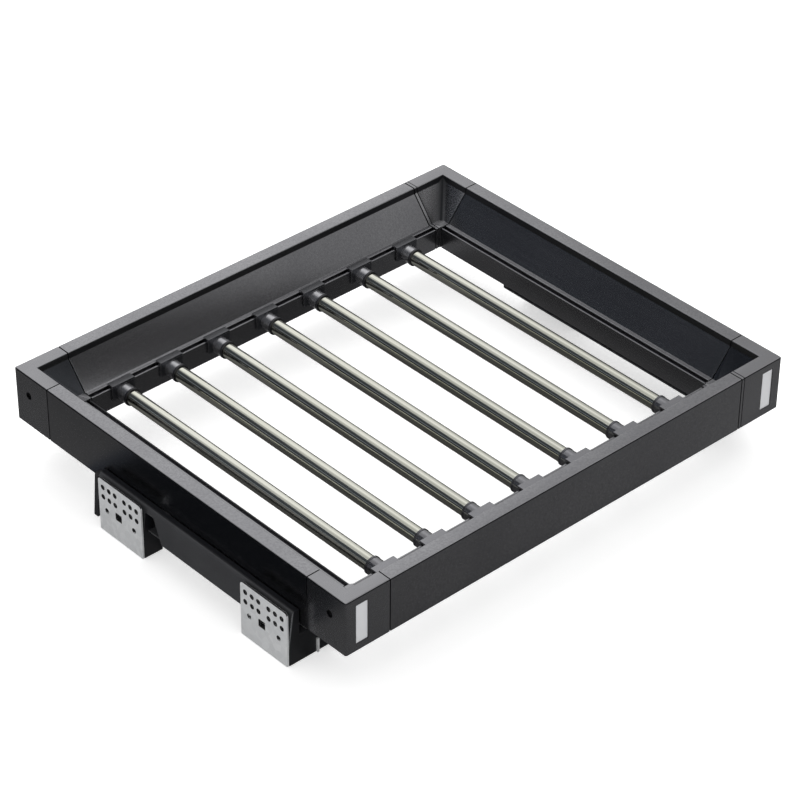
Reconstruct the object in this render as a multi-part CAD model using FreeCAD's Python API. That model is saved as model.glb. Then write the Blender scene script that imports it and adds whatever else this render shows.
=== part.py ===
import FreeCAD, Part
import math
import os

# Pull-out trouser rack for a wardrobe: a frame of four extruded aluminium rails joined by moulded
# corners, seven round bars clipped into the rails' slots, and a roller slide under each side rail.
# Lengths are millimetres. X runs across the wardrobe, Y from the front to the back, Z up. The
# origin is under the middle of the frame, at the height of the side plates' lower edges.

# Frame
frame_width = 535.0
frame_depth = 456.5
frame_height = 56.2
frame_above_base = 41.0

# Rail section, measured inwards from the outer face and up from the frame's underside
rail_wall = 2.0
rim_width = 15.0
rim_radius = 1.2
fascia_height = 6.1
fascia_lean = 1.0
ledge_start = 37.8
ledge_height = 23.6
ledge_radius = 0.8
slot_start = 42.6
slot_width = 3.1
slot_depth = 5.5
lip_width = 2.2
lip_drop = 1.0
lip_radius = 0.7
seat_height = 7.0
port_place = 20.2
port_height = 34.2
port_hole = 3.5
port_overlap = 0.4

# Moulded corners
corner_wall = 2.5
corner_radius = 2.2
corner_end_wall = 4.0
arm_along = 48.4
arm_left = 49.2
arm_right = 53.4
tongue_length = 26.0
tongue_clearance = 0.15
access_hole = 7.6
seam = 1.2

# Corner screws and the covers over the two front ones
screw_head = 4.8
screw_head_height = 3.0
screw_shank = 3.4
screw_length = 22.0
driver_hole = 2.5
driver_depth = 1.6
shank_clearance = 0.1
cover_place = 18.3
cover_width = 13.4
cover_height = 41.0
cover_foot = 7.4
cover_thickness = 0.9
cover_recess = 1.7
cover_radius = 0.5
cover_clearance = 0.1

# Bars and their end clips
bar_diameter = 15.0
bar_wall = 1.2
bar_place_shares = (0.160, 0.266, 0.373, 0.485, 0.596, 0.710, 0.822)
clip_width = 26.0
clip_thickness = 2.0
clip_front_wall = 1.9
clip_drop = 14.0
clip_running_gap = 0.3
clip_seat_gap = 0.05
clip_edge = 0.6
hook_width = 22.5
hook_depth = 4.6
sleeve_diameter = 17.2
sleeve_length = 14.0
sleeve_drop = 0.2
sleeve_floor = 1.0
sleeve_fit = 0.05
sleeve_edge = 0.7

# Slide housing, the folded sheet that each slide lies on, measured from the frame's outer side
sheet = 1.5
housing_front = 58.7
housing_length = 263.8
housing_gap = 0.9
housing_head = 8.1
housing_head_height = 15.5
housing_foot = 12.3
housing_drop = 13.6
housing_bend = 2.2
tray_reach = 37.0
apron_drop = 41.0
apron_side_gap = 0.6
return_setback = 4.1
return_end_gap = 4.0
return_head_gap = 0.6
notch_head_reach = 11.0
notch_foot_reach = 27.0
notch_head_height = 9.0

# Slide members
member_sheet = 1.2
member_setback = 1.5
fixed_start = 8.0
fixed_width = 26.0
fixed_height = 11.1
fixed_lip = 3.5
middle_length_share = 0.8
middle_flange_start = 10.0
middle_wall_start = 14.0
middle_height = 8.0
drawer_start = 5.5
drawer_skirt = 15.0
member_radius = 0.8

# Roller cages
roller_diameter = 4.0
roller_gap = 0.1
roller_count = 5
cage_length = 75.0
cage_start = 68.0
cage_thickness = 1.4
cage_side = 1.3
cage_setback = 0.3
pocket_clearance = 0.2

# Screws that hold the basket on the slides
seat_screw_head = 4.8
seat_screw_head_height = 1.8
seat_screw_shank = 3.0
seat_screw_length = 6.0
seat_screw_inset = 4.3
seat_screw_setback = 22.0

# Side plates, whose holes are on the cabinet's screw pitch
plate_thickness = 1.8
plate_inner_face = 12.6
plate_width = 61.0
plate_height = 58.1
plate_top_radius = 3.5
plate_foot_radius = 1.0
plate_rear_setback = 5.6
plate_hole = 5.4
column_inner = 6.65
column_middle = 15.2
column_outer = 23.9
row_upper = 20.35
row_lower = 9.85
low_hole_place = 19.35
low_hole_drop = 3.55
window_width = 8.8
window_height = 8.2
window_drop = 2.05
window_shift = 2.6
window_radius = 0.8
window_tab = 3.0
shelf_reach = 8.0
shelf_setback = 2.0
rivet_head = 5.0
rivet_head_height = 1.0
rivet_shank = 3.0
rivet_place = 1.5
rivet_setback = 12.0

# Rear end caps, closing bumpers and the bright clips on the aprons
cap_thickness = 6.0
cap_head = 9.4
cap_head_height = 12.5
cap_foot = 12.8
cap_drop = 33.0
cap_clearance = 1.2
cap_tail_drop = 14.0
bumper_thickness = 2.0
bumper_width = 3.2
bumper_height = 6.0
bumper_gap = 0.3
apron_clip_place = 19.0
apron_clip_width = 2.0
apron_clip_height = 15.0
apron_clip_depth = 2.0

overrun = 1.0
edge_tolerance = 0.1

# Worked out from the sizes above
rail_reach = slot_start + slot_width + lip_width
lip_inner = rail_reach - lip_width
slot_floor = ledge_height - slot_depth
seat_top = seat_height + rail_wall
lip_height = ledge_height - lip_drop
slope_run = ledge_start - rim_width - fascia_lean
slope_fall = frame_height - fascia_height - ledge_height
slope_length = math.hypot(slope_run, slope_fall)
fascia_foot_height = frame_height - fascia_height
clip_front = rail_reach + clip_running_gap + clip_front_wall
bar_height = ledge_height - sleeve_drop - sleeve_diameter / 2
member_front = housing_front + member_setback
member_length = housing_length - member_setback - bumper_thickness - bumper_gap
middle_length = middle_length_share * member_length
plate_pitch = housing_length - plate_width - plate_rear_setback
apron_foot = plate_inner_face - apron_side_gap
tray_top = sheet - housing_drop
fixed_floor = tray_top + member_sheet
middle_floor = fixed_floor + roller_diameter + 2 * roller_gap
middle_top = middle_floor + middle_height
drawer_roof = middle_top + roller_diameter + 2 * roller_gap
fixed_end = fixed_start + fixed_width
member_centre = fixed_start + fixed_width / 2
plate_centre_height = plate_height / 2 - apron_drop
shelf_foot = housing_drop + plate_thickness
rear_end = housing_front + housing_length

os.makedirs("parts", exist_ok=True)

AXES = {
    "x": FreeCAD.Vector(1, 0, 0),
    "y": FreeCAD.Vector(0, 1, 0),
    "z": FreeCAD.Vector(0, 0, 1),
}
MIRROR_X = AXES["x"]
MIRROR_Y = AXES["y"]
ORIGIN = FreeCAD.Vector(0, 0, 0)


def spot(axis, first, second):
    """A point in the plane square to an axis, from its two other coordinates in x, y, z order."""
    if axis == "x":
        return FreeCAD.Vector(0, first, second)
    if axis == "y":
        return FreeCAD.Vector(first, 0, second)
    return FreeCAD.Vector(first, second, 0)


def outline(axis, corners):
    """A closed wire through corners; a corner with a third number is rounded to that radius."""
    arrivals = []
    arcs = []
    departures = []
    count = len(corners)
    for index, corner in enumerate(corners):
        here = spot(axis, corner[0], corner[1])
        if len(corner) == 2:
            arrivals.append(here)
            departures.append(here)
            arcs.append(None)
            continue
        radius = corner[2]
        previous = corners[index - 1]
        following = corners[(index + 1) % count]
        back = (spot(axis, previous[0], previous[1]) - here).normalize()
        ahead = (spot(axis, following[0], following[1]) - here).normalize()
        half = back.getAngle(ahead) / 2
        reach = radius / math.tan(half)
        middle = (back + ahead).normalize() * (radius / math.sin(half) - radius)
        arrivals.append(here + back * reach)
        departures.append(here + ahead * reach)
        arcs.append(Part.Arc(arrivals[-1], here + middle, departures[-1]).toShape())
    edges = []
    for index in range(count):
        if arcs[index] is not None:
            edges.append(arcs[index])
        start = departures[index]
        end = arrivals[(index + 1) % count]
        edges.append(Part.LineSegment(start, end).toShape())
    return Part.Wire(edges)


def prism(axis, corners, start, length):
    """An outline's face, moved to its start along the axis and drawn out to its length."""
    face = Part.Face(outline(axis, corners))
    face.translate(AXES[axis] * start)
    return face.extrude(AXES[axis] * length)


def box(low, high):
    """A box between two corners."""
    size = [high[i] - low[i] for i in range(3)]
    return Part.makeBox(size[0], size[1], size[2], FreeCAD.Vector(*low))


def rod(axis, first, second, diameter, start, length):
    """A round rod along an axis, through a point of the plane square to it."""
    base = spot(axis, first, second) + AXES[axis] * start
    return Part.makeCylinder(diameter / 2, length, base, AXES[axis])


def write(name, shape):
    shape.exportStep("parts/" + name + ".step")


def slope_height(inset, depth):
    """Height of the sloping wall's line at a distance inwards, sunk square to itself by a depth."""
    run = inset - rim_width - fascia_lean
    return fascia_foot_height - run * slope_fall / slope_run - depth * slope_length / slope_run


def slope_inset(height, depth):
    """Distance inwards at which the sunk line of the sloping wall has a height."""
    fall = fascia_foot_height - height - depth * slope_length / slope_run
    return rim_width + fascia_lean + fall * slope_run / slope_fall


def upper_corners(wall):
    """The hollow under the rim and the sloping wall, from its foot at the front to the ledge."""
    fascia_inner = rim_width - wall
    return [
        (wall, frame_height - wall),
        (fascia_inner, frame_height - wall),
        (fascia_inner + fascia_lean, slope_height(fascia_inner + fascia_lean, wall)),
        (slope_inset(ledge_height - wall, wall), ledge_height - wall),
    ]


def port_radius():
    """The screw port's outer radius, enough to grow out of the sloping wall."""
    drop = slope_height(port_place, rail_wall) - port_height
    return drop * slope_run / slope_length + port_overlap


def rail_profile_solid(length):
    skin = [
        (0, 0),
        (0, frame_height, rim_radius),
        (rim_width, frame_height, rim_radius),
        (rim_width + fascia_lean, fascia_foot_height),
        (ledge_start, ledge_height),
        (slot_start, ledge_height, ledge_radius),
        (slot_start, slot_floor),
        (lip_inner, slot_floor),
        (lip_inner, lip_height, lip_radius),
        (rail_reach, lip_height, lip_radius),
        (rail_reach, 0),
        (lip_inner, 0),
        (lip_inner, seat_height),
        (rail_wall, seat_height),
        (rail_wall, 0),
    ]
    hollow = upper_corners(rail_wall) + [
        (slot_start - rail_wall, ledge_height - rail_wall),
        (slot_start - rail_wall, slot_floor - rail_wall),
        (lip_inner, slot_floor - rail_wall),
        (lip_inner, seat_top),
        (rail_wall, seat_top),
    ]
    body = prism("x", skin, 0, length).cut(prism("x", hollow, -overrun, length + 2 * overrun))
    port = rod("x", port_place, port_height, 2 * port_radius(), 0, length)
    bore = rod("x", port_place, port_height, port_hole, -overrun, length + 2 * overrun)
    return body.fuse(port).removeSplitter().cut(bore)


def turned(shape, quarter_turns):
    """A rail drawn along X with its inner side towards +Y, turned about Z."""
    shape.rotate(ORIGIN, AXES["z"], 90 * quarter_turns)
    return shape


def rails():
    """The four rails in the frame's place, with an open seam between a rail and a corner's arm."""
    across = frame_width - arm_left - arm_right - 2 * seam
    along = frame_depth - 2 * arm_along - 2 * seam
    front = rail_profile_solid(across)
    front.translate(FreeCAD.Vector(arm_left + seam, 0, 0))
    rear = turned(rail_profile_solid(across), 2)
    rear.translate(FreeCAD.Vector(arm_left + seam + across, frame_depth, 0))
    left = turned(rail_profile_solid(along), 3)
    left.translate(FreeCAD.Vector(0, arm_along + seam + along, 0))
    right = turned(rail_profile_solid(along), 1)
    right.translate(FreeCAD.Vector(frame_width, arm_along + seam, 0))
    for place in seat_screw_places():
        left = left.cut(seat_screw_bore(place))
        right = right.cut(mirrored(seat_screw_bore(place)))
    return {"front_rail": front, "rear_rail": rear, "left_rail": left, "right_rail": right}


def mirrored(shape):
    """The other side's copy, in coordinates that start at the frame's front left corner."""
    copy = shape.mirror(ORIGIN, MIRROR_X)
    copy.translate(FreeCAD.Vector(frame_width, 0, 0))
    return copy


def corner_arm(arm):
    """One arm of a corner, along X: its skin, its hollow and its end wall with the tongue."""
    skin = [
        (0, 0),
        (0, frame_height),
        (rim_width, frame_height, rim_radius),
        (rim_width + fascia_lean, fascia_foot_height),
        (ledge_start, ledge_height),
        (rail_reach, ledge_height, lip_radius),
        (rail_reach, 0),
    ]
    hollow = upper_corners(corner_wall) + [
        (rail_reach - corner_wall, ledge_height - corner_wall),
        (rail_reach - corner_wall, -overrun),
        (corner_wall, -overrun),
    ]
    solid = prism("x", skin, 0, arm)
    space = prism("x", hollow, corner_wall, arm - corner_wall - corner_end_wall)
    gap = rail_wall + tongue_clearance
    tongue = box(
        (arm - corner_end_wall, gap, seat_top + tongue_clearance),
        (arm + tongue_length, rim_width - gap, frame_height - gap),
    )
    access = rod("x", port_place, port_height, access_hole, -overrun, arm - corner_end_wall + overrun)
    passage = rod("x", port_place, port_height, screw_shank + 2 * shank_clearance, 0, arm + overrun)
    return solid, space, tongue, access, passage


def across_diagonal(shape):
    """Swaps X and Y, which turns an arm along X into the arm along Y."""
    return shape.mirror(ORIGIN, FreeCAD.Vector(1, -1, 0))


def corner(arm_across, has_cover):
    """A moulded corner with its outer edge on the Z axis and its arms along X and Y."""
    first = corner_arm(arm_across)
    second = [across_diagonal(shape) for shape in corner_arm(arm_along)]
    body = first[0].fuse(second[0]).removeSplitter()
    upright = [edge for edge in body.Edges if edge_on_z_axis(edge)]
    body = body.makeFillet(corner_radius, upright)
    body = body.makeFillet(rim_radius, [edge for edge in body.Edges if edge_on_outer_rim(edge)])
    body = body.cut(first[1].fuse(second[1]))
    body = body.fuse([first[2], second[2]]).removeSplitter()
    body = body.cut([first[3], first[4], second[3], second[4]])
    if has_cover:
        body = body.cut(cover_block(cover_clearance, 0))
    return body


def edge_on_z_axis(edge):
    return all(abs(point.Point.x) < edge_tolerance and abs(point.Point.y) < edge_tolerance
               for point in edge.Vertexes)


def edge_on_outer_rim(edge):
    """The top outer edges, the small round between them included."""
    middle = edge.valueAt((edge.FirstParameter + edge.LastParameter) / 2)
    at_top = abs(middle.z - frame_height) < edge_tolerance
    outside = min(middle.x, middle.y) < corner_radius / 2
    flat_run = max(middle.x, middle.y) < arm_right and edge_stays_outside(edge)
    return at_top and outside and flat_run


def edge_stays_outside(edge):
    return all(min(point.Point.x, point.Point.y) < edge_tolerance for point in edge.Vertexes)


def cover_block(gap, depth):
    """The cover's slab from a depth to the pocket's floor, or with a gap the pocket itself."""
    low = cover_place - cover_width / 2 - gap
    high = cover_place + cover_width / 2 + gap
    foot = cover_foot - gap
    head = cover_foot + cover_height + gap
    corners = [
        (low, foot, cover_radius),
        (low, head, cover_radius),
        (high, head, cover_radius),
        (high, foot, cover_radius),
    ]
    return prism("y", corners, depth, cover_recess - depth)


def corners():
    """The four corners: mirrored copies of two, because the arms across differ in length."""
    front_left = corner(arm_left, True)
    rear_left = corner(arm_left, False).mirror(ORIGIN, MIRROR_Y)
    rear_left.translate(FreeCAD.Vector(0, frame_depth, 0))
    front_right = mirrored(corner(arm_right, True))
    rear_right = mirrored(corner(arm_right, False).mirror(ORIGIN, MIRROR_Y))
    rear_right.translate(FreeCAD.Vector(0, frame_depth, 0))
    return {
        "front_left_corner": front_left,
        "front_right_corner": front_right,
        "rear_left_corner": rear_left,
        "rear_right_corner": rear_right,
    }


def corner_screw(arm):
    """A screw along X whose head bears on the inner side of an arm's end wall."""
    seat = arm - corner_end_wall
    head = rod("x", port_place, port_height, screw_head, seat - screw_head_height, screw_head_height)
    shank = rod("x", port_place, port_height, screw_shank, seat, screw_length)
    socket = rod("x", port_place, port_height, driver_hole, seat - screw_head_height, driver_depth)
    return head.fuse(shank).cut(socket)


def corner_screws():
    """Eight screws, two to each corner."""
    sides = []
    for arm, flip in ((arm_left, False), (arm_right, True)):
        pair = Part.makeCompound([corner_screw(arm), across_diagonal(corner_screw(arm_along))])
        rear = pair.mirror(ORIGIN, MIRROR_Y)
        rear.translate(FreeCAD.Vector(0, frame_depth, 0))
        both = Part.makeCompound(pair.Solids + rear.Solids)
        sides.append(mirrored(both) if flip else both)
    return Part.makeCompound(sides[0].Solids + sides[1].Solids)


def screw_covers():
    slab = cover_block(0, cover_recess - cover_thickness)
    return {"left_screw_cover": slab, "right_screw_cover": mirrored(slab)}


def clip():
    """The front end clip of a bar that lies over x = 0: plate, hook, front wall and sleeve."""
    under = ledge_height + clip_seat_gap
    half = clip_width / 2
    back = slot_start - clip_running_gap
    plate_corners = [
        (-half, back, clip_edge),
        (-half, clip_front, clip_edge),
        (half, clip_front, clip_edge),
        (half, back, clip_edge),
    ]
    plate = prism("z", plate_corners, under, clip_thickness)
    hook = box(
        (-hook_width / 2, slot_start + clip_running_gap, ledge_height - hook_depth),
        (hook_width / 2, lip_inner - clip_running_gap, under + clip_thickness / 2),
    )
    front = box(
        (-half, rail_reach + clip_running_gap, ledge_height - clip_drop),
        (half, clip_front, under + clip_thickness / 2),
    )
    sleeve = rod("y", 0, bar_height, sleeve_diameter, clip_front - clip_front_wall / 2, sleeve_length)
    rim = [edge for edge in sleeve.Edges if edge.CenterOfMass.y > clip_front + sleeve_length / 2]
    rim = [edge for edge in rim if edge.Closed]
    sleeve = sleeve.makeChamfer(sleeve_edge, rim)
    bore = rod("y", 0, bar_height, bar_diameter + 2 * sleeve_fit, clip_front + sleeve_floor, sleeve_length)
    return plate.fuse([hook, front, sleeve]).removeSplitter().cut(bore)


def bars():
    """Seven bars, each a tube with a clip at both ends."""
    pieces = {}
    start = clip_front + sleeve_floor
    length = frame_depth - 2 * start
    for index, share in enumerate(bar_place_shares):
        name = "bar_" + str(index + 1)
        across = FreeCAD.Vector(share * frame_width, 0, 0)
        tube = rod("y", 0, bar_height, bar_diameter, start, length)
        tube = tube.cut(rod("y", 0, bar_height, bar_diameter - 2 * bar_wall, start, length))
        front = clip()
        rear = clip().mirror(ORIGIN, MIRROR_Y)
        rear.translate(FreeCAD.Vector(0, frame_depth, 0))
        for suffix, shape in (("", tube), ("_front_clip", front), ("_rear_clip", rear)):
            shape.translate(across)
            pieces[name + suffix] = shape
    return pieces


def housing():
    """The folded sheet at the left: flange beside the frame, leaning wall, tray and front apron."""
    top = housing_head_height
    corners_out = [
        (-housing_gap, top),
        (-housing_head, top, housing_bend + sheet),
        (-housing_foot, -housing_drop, housing_bend),
        (tray_reach, -housing_drop),
        (tray_reach, tray_top),
        (-housing_foot + sheet, tray_top, housing_bend - sheet),
        (-housing_head + sheet, top - sheet, housing_bend),
        (-housing_gap, top - sheet),
    ]
    body = prism("y", corners_out, housing_front, housing_length)
    body = body.cut(wall_notch())
    body = body.fuse([apron(0, tray_reach), apron(1, shelf_reach)]).removeSplitter()
    for place in rivet_places():
        body = body.cut(rivet_bore(place))
    return body


def apron(index, reach):
    """The sheet folded down before a side plate, closed up to the flange, and its return behind."""
    corners = [
        (reach, -apron_drop),
        (reach, tray_top),
        (-housing_gap, tray_top),
        (-housing_gap, housing_head_height),
        (-housing_head, housing_head_height, housing_bend + sheet),
        (-housing_foot, -housing_drop),
        (-apron_foot, -apron_drop),
    ]
    front = plate_front(index)
    return_face = return_setback - plate_inner_face
    folded_back = box(
        (return_face, front, -apron_drop),
        (return_face + sheet, front + plate_width - return_end_gap, -shelf_foot - return_head_gap),
    )
    return prism("y", corners, front, sheet).fuse(folded_back)


def wall_notch():
    """The part of the leaning wall that is left out before the rear plate."""
    rear = plate_front(1)
    foot = -housing_drop - overrun
    corners = [
        (rear, foot),
        (rear - notch_foot_reach, foot),
        (rear - notch_head_reach, notch_head_height),
        (rear, notch_head_height),
    ]
    return prism("x", corners, -housing_foot - overrun, housing_foot + overrun - housing_head + sheet)


def channel(corners_list, length):
    """A slide member of constant section, from the members' front."""
    return prism("y", corners_list, member_front, length)


def fixed_member():
    """The lowest member: a channel with its two edges folded inwards."""
    head = tray_top + fixed_height
    inner = fixed_start + member_sheet
    far_inner = fixed_end - member_sheet
    section = [
        (fixed_start, tray_top, member_radius),
        (fixed_start, head, member_radius),
        (fixed_start + fixed_lip, head),
        (fixed_start + fixed_lip, head - member_sheet),
        (inner, head - member_sheet),
        (inner, fixed_floor),
        (far_inner, fixed_floor),
        (far_inner, head - member_sheet),
        (fixed_end - fixed_lip, head - member_sheet),
        (fixed_end - fixed_lip, head),
        (fixed_end, head, member_radius),
        (fixed_end, tray_top, member_radius),
    ]
    return channel(section, member_length)


def middle_member():
    """The member between: a hat section whose brim runs on the lower rollers."""
    flange_far = 2 * member_centre - middle_flange_start
    wall_far = 2 * member_centre - middle_wall_start
    brim = middle_floor + member_sheet
    section = [
        (middle_flange_start, middle_floor),
        (middle_flange_start, brim),
        (middle_wall_start, brim),
        (middle_wall_start, middle_top, member_radius),
        (wall_far, middle_top, member_radius),
        (wall_far, brim),
        (flange_far, brim),
        (flange_far, middle_floor),
        (wall_far - member_sheet, middle_floor),
        (wall_far - member_sheet, middle_top - member_sheet),
        (middle_wall_start + member_sheet, middle_top - member_sheet),
        (middle_wall_start + member_sheet, middle_floor),
    ]
    return channel(section, middle_length)


def drawer_member():
    """The member under the basket: a channel upside down over the other two."""
    roof = drawer_roof + member_sheet
    foot = roof - drawer_skirt
    far = 2 * member_centre - drawer_start
    section = [
        (drawer_start, foot),
        (drawer_start, roof, member_radius),
        (far, roof, member_radius),
        (far, foot),
        (far - member_sheet, foot),
        (far - member_sheet, drawer_roof),
        (drawer_start + member_sheet, drawer_roof),
        (drawer_start + member_sheet, foot),
    ]
    body = channel(section, member_length)
    for place in seat_screw_places():
        body = body.cut(seat_screw_bore(place))
    return body


def seat_screw_places():
    """Four places under a side rail, near the corners of the drawer member."""
    near = drawer_start + seat_screw_inset
    front = member_front + seat_screw_setback
    rear = member_front + member_length - seat_screw_setback
    return [(x, y) for x in (near, 2 * member_centre - near) for y in (front, rear)]


def seat_screw_bore(place):
    return rod("z", place[0], place[1], seat_screw_shank + 2 * shank_clearance,
               drawer_roof - overrun, seat_screw_length + overrun)


def seat_screws():
    """Screws from below, through the drawer member into the rail's seat."""
    screws = []
    for x, y in seat_screw_places():
        head = rod("z", x, y, seat_screw_head, drawer_roof - seat_screw_head_height,
                   seat_screw_head_height)
        shank = rod("z", x, y, seat_screw_shank, drawer_roof, seat_screw_length)
        socket = rod("z", x, y, driver_hole, drawer_roof - seat_screw_head_height,
                     seat_screw_head_height / 2)
        screws.append(head.fuse(shank).cut(socket))
    return screws


def roller_rows(floor, start, end):
    """A cage and its rollers above a floor, between two distances from the frame's side."""
    centre = floor + roller_gap + roller_diameter / 2
    low = start + cage_setback
    high = end - cage_setback
    first = member_front + cage_start
    cage = box(
        (low, first, centre - cage_thickness / 2),
        (high, first + cage_length, centre + cage_thickness / 2),
    )
    rollers = []
    spacing = cage_length / roller_count
    for index in range(roller_count):
        middle = first + spacing * (index + 1 / 2)
        half = roller_diameter / 2 + pocket_clearance
        pocket = box(
            (low + cage_side, middle - half, centre - roller_diameter / 2),
            (high - cage_side, middle + half, centre + roller_diameter / 2),
        )
        cage = cage.cut(pocket)
        roller_start = low + cage_side + pocket_clearance
        roller_length = high - low - 2 * cage_side - 2 * pocket_clearance
        rollers.append(rod("x", middle, centre, roller_diameter, roller_start, roller_length))
    return cage, Part.makeCompound(rollers)


def plate_front(index):
    """Distance of a plate's front edge from the frame's front."""
    return housing_front + index * plate_pitch


def bracket(index):
    """A side plate with its rows of holes and a shelf under the tray."""
    front = plate_front(index)
    rear = front + plate_width
    foot = -apron_drop
    head = foot + plate_height
    outer = -plate_inner_face - plate_thickness
    middle = front + plate_width / 2
    window_near = middle + window_shift - window_width / 2
    window_far = window_near + window_width
    slab_corners = [
        (front, foot, plate_foot_radius),
        (front, head, plate_top_radius),
        (rear, head, plate_top_radius),
        (rear, foot, plate_foot_radius),
    ]
    body = prism("x", slab_corners, outer, plate_thickness)
    shelf = box(
        (-plate_inner_face, front + shelf_setback, -shelf_foot),
        (shelf_reach, rear - shelf_setback, -housing_drop),
    )
    body = body.fuse(shelf).removeSplitter()
    cuts = [rod("x", middle + y, plate_centre_height + z, plate_hole,
                outer - overrun, plate_thickness + 2 * overrun) for y, z in plate_holes()]
    window_foot = plate_centre_height - window_drop - window_height / 2
    window = [
        (window_near, window_foot),
        (window_near, window_foot + window_height, window_radius),
        (window_far, window_foot + window_height, window_radius),
        (window_far, window_foot),
    ]
    cuts.append(prism("x", window, outer - overrun, plate_thickness + 2 * overrun))
    cuts += [rivet_bore(place) for place in rivet_places()]
    body = body.cut(cuts)
    tab = box(
        (outer, window_near, window_foot - plate_thickness),
        (-plate_inner_face + window_tab, window_far, window_foot),
    )
    return body.fuse(tab).removeSplitter()


def plate_holes():
    """Hole places about a plate's centre: two rows of six and two single holes below."""
    columns = [side * place for side in (-1, 1) for place in (column_inner, column_middle, column_outer)]
    rows = [(y, z) for y in columns for z in (row_upper, row_lower)]
    return rows + [(side * low_hole_place, -low_hole_drop) for side in (-1, 1)]


def rivet_places():
    """Two rivets for each bracket's shelf."""
    places = []
    for index in range(2):
        front = plate_front(index)
        places.append((rivet_place, front + rivet_setback))
        places.append((rivet_place, front + plate_width - rivet_setback))
    return places


def rivet_bore(place):
    depth = sheet + plate_thickness
    return rod("z", place[0], place[1], rivet_shank + 2 * shank_clearance,
               tray_top - depth - overrun, depth + 2 * overrun)


def rivets():
    """Rivets through the tray and the shelves, headed on both sides."""
    depth = sheet + plate_thickness
    pieces = []
    for x, y in rivet_places():
        shank = rod("z", x, y, rivet_shank, tray_top - depth, depth)
        upper = rod("z", x, y, rivet_head, tray_top, rivet_head_height)
        lower = rod("z", x, y, rivet_head, tray_top - depth - rivet_head_height, rivet_head_height)
        pieces.append(shank.fuse([upper, lower]))
    return pieces


def rear_cap():
    """The moulded end of a housing, with its outer edge leaning like the housing's wall."""
    section = [
        (-cap_head, cap_head_height),
        (-cap_clearance, cap_head_height),
        (-cap_clearance, -cap_clearance),
        (tray_reach, -cap_clearance),
        (tray_reach, -cap_tail_drop),
        (shelf_reach, -cap_tail_drop),
        (shelf_reach, -cap_drop),
        (-cap_foot, -cap_drop),
    ]
    return prism("y", section, rear_end, cap_thickness)


def bumper():
    """A rubber pad on the rear cap, behind the drawer member's outer skirt."""
    skirt_middle = drawer_start + member_sheet / 2
    head = -cap_clearance - member_sheet
    return box(
        (skirt_middle - bumper_width / 2, rear_end - bumper_thickness, head - bumper_height),
        (skirt_middle + bumper_width / 2, rear_end, head),
    )


def apron_clip():
    """The narrow bright clip on the front of the apron."""
    return box(
        (apron_clip_place - apron_clip_width / 2, housing_front - apron_clip_depth, -apron_drop),
        (apron_clip_place + apron_clip_width / 2, housing_front, apron_clip_height - apron_drop),
    )


def slide_pieces():
    """Every piece of the left slide by its name without the side."""
    lower = roller_rows(fixed_floor, middle_flange_start, 2 * member_centre - middle_flange_start)
    upper = roller_rows(middle_top, middle_wall_start, 2 * member_centre - middle_wall_start)
    return {
        "housing": housing(),
        "fixed_member": fixed_member(),
        "middle_member": middle_member(),
        "drawer_member": drawer_member(),
        "lower_cage": lower[0],
        "lower_rollers": lower[1],
        "upper_cage": upper[0],
        "upper_rollers": upper[1],
        "front_bracket": bracket(0),
        "rear_bracket": bracket(1),
        "rear_cap": rear_cap(),
        "apron_clip": apron_clip(),
    }


def both_sides(shapes):
    """One group of separate solids for a fastener that both sides share."""
    return Part.makeCompound(shapes + [mirrored(shape) for shape in shapes])


pieces = {}
pieces.update(rails())
pieces.update(corners())
pieces["corner_screws"] = corner_screws()
pieces.update(screw_covers())
pieces.update(bars())
for piece_name, piece in slide_pieces().items():
    pieces["left_" + piece_name] = piece
    pieces["right_" + piece_name] = mirrored(piece)
pieces["seat_screws"] = both_sides(seat_screws())
pieces["bracket_rivets"] = both_sides(rivets())
pieces["closing_bumpers"] = both_sides([bumper()])

to_origin = FreeCAD.Vector(-frame_width / 2, -frame_depth / 2, frame_above_base)
for piece_name, piece in pieces.items():
    piece.translate(to_origin)
    write(piece_name, piece)
    print(piece_name, len(piece.Solids), round(piece.Volume))
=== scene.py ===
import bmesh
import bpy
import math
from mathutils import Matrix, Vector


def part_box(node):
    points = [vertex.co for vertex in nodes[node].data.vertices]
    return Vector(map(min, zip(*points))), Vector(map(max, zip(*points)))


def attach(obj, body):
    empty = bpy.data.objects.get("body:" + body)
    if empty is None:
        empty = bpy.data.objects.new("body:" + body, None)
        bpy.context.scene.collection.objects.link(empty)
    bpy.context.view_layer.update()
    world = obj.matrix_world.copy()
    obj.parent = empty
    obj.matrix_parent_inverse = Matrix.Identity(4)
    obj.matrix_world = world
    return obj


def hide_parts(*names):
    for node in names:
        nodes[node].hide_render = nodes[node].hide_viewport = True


# %% [markdown]
# # Pull-out trouser rack
# This lesson dresses a trouser rack for a wardrobe: a dark anodised frame, seven polished bars in
# end clips, and two roller slides with galvanised plates. The frame and its joints are already
# made and packed. Here every surface gets its finish, and the small moulded and turned pieces get
# the rounded edges that catch the light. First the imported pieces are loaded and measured.

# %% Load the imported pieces
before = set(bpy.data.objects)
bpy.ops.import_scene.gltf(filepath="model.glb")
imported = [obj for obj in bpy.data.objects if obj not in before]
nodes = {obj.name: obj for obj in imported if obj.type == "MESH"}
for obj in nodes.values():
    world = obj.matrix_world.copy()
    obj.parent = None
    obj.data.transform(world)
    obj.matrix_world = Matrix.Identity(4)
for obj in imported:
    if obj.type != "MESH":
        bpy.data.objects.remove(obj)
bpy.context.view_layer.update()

MM = 0.001

# %% [markdown]
# ## Camera
# The photograph looks down at the rack from its front left, from far away with a long lens, so the
# rails stay nearly parallel. The place and the turn below are where that camera stood.

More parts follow.
